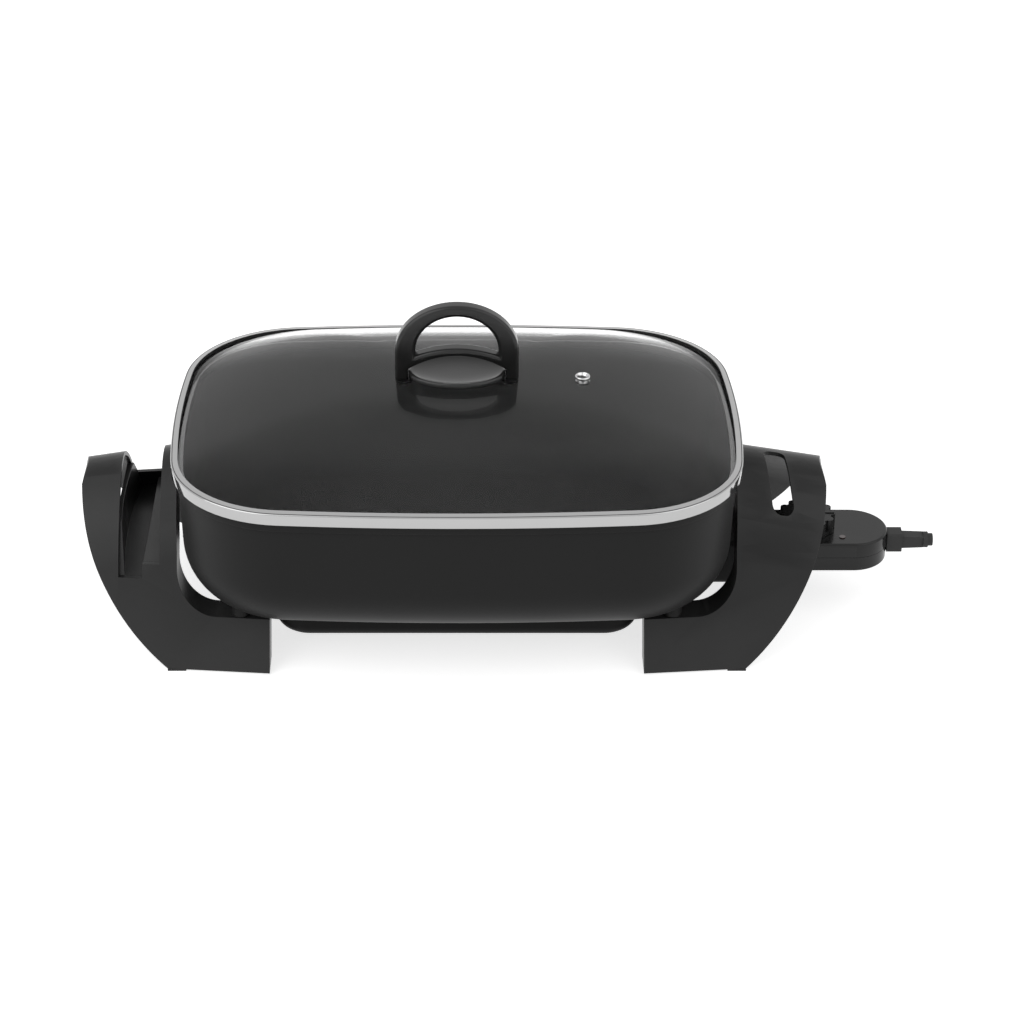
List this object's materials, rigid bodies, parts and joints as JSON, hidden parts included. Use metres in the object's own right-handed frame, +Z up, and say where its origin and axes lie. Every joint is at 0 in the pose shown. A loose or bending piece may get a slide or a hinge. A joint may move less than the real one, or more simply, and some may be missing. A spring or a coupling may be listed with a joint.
{
  "type": "electric skillet",
  "caption": "Electric skillet: deep rectangular non-stick pan on two arched handles that are its legs, domed glass lid with a loop handle, and a plug-in heat control with a dial.",
  "frame": {"origin": "point of the table plane straight below the middle of the pan", "axes": "+X towards the heat control and its cord, +Y towards the back of the pan, +Z up"},
  "size_m": [0.6105, 0.294, 0.2357],
  "materials": {
    "nonstick_coating": "dark satin non-stick coating with a fine grain",
    "heater_sheath": "dull oxidised tube",
    "plain_steel": "bare pressed steel",
    "pin_metal": "nickel plated",
    "ceramic": "glazed ceramic",
    "cover_black": "black painted sheet",
    "screw_steel": "zinc plated",
    "black_plastic": "moulded phenolic",
    "handle_plastic": "moulded phenolic, satin",
    "foot_rubber": "soft rubber",
    "lid_glass": "tempered clear glass",
    "ring_steel": "polished stainless steel",
    "seal_silicone": "black silicone",
    "vent_steel": "polished stainless steel",
    "knob_plastic": "moulded phenolic, semi-gloss",
    "control_plastic": "moulded phenolic, semi-gloss",
    "cord_rubber": "moulded flexible sleeve",
    "rod_steel": "stainless steel",
    "lens_amber": "tinted clear plastic",
    "dial_plastic": "moulded phenolic, semi-gloss"
  },
  "bodies": {
    "root": {"pan_body": "nonstick_coating", "heating_element": "heater_sheath", "element_clips": "plain_steel", "terminal_pins": "pin_metal", "terminal_beads": "ceramic", "bottom_cover": "cover_black", "bottom_cover_screws": "screw_steel", "socket_housing": "black_plastic", "left_handle": "handle_plastic", "right_handle": "handle_plastic", "lid_rest_channel": "handle_plastic", "handle_screws": "screw_steel", "foot_pads": "foot_rubber"},
    "lid": {"lid_glass": "lid_glass", "lid_ring": "ring_steel", "lid_gasket": "seal_silicone", "steam_vent": "vent_steel", "lid_handle": "knob_plastic", "lid_handle_dish": "knob_plastic", "lid_handle_screws": "screw_steel", "lid_handle_washers": "seal_silicone"},
    "control": {"control_lower_shell": "control_plastic", "control_upper_shell": "control_plastic", "control_screws": "screw_steel", "cord_strain_relief": "cord_rubber", "sensor_rod": "rod_steel", "contact_sleeves": "pin_metal", "thermostat": "ceramic", "indicator_lens": "lens_amber"},
    "dial": {"temperature_dial": "dial_plastic", "dial_shaft": "rod_steel"}
  },
  "joints": [
    {"name": "lid_lift", "type": "slide", "parent": "root", "child": "lid", "axis": [0, 0, 1], "range_m": [0, 0.2]},
    {"name": "control_pull", "type": "slide", "parent": "root", "child": "control", "axis": [1, 0, 0], "range_m": [0, 0.12]},
    {"name": "dial_turn", "type": "hinge", "parent": "control", "child": "dial", "pos_m": [0.2525, 0, 0.06], "axis": [0, 0, -1], "range_deg": [0, 300]}
  ]
}
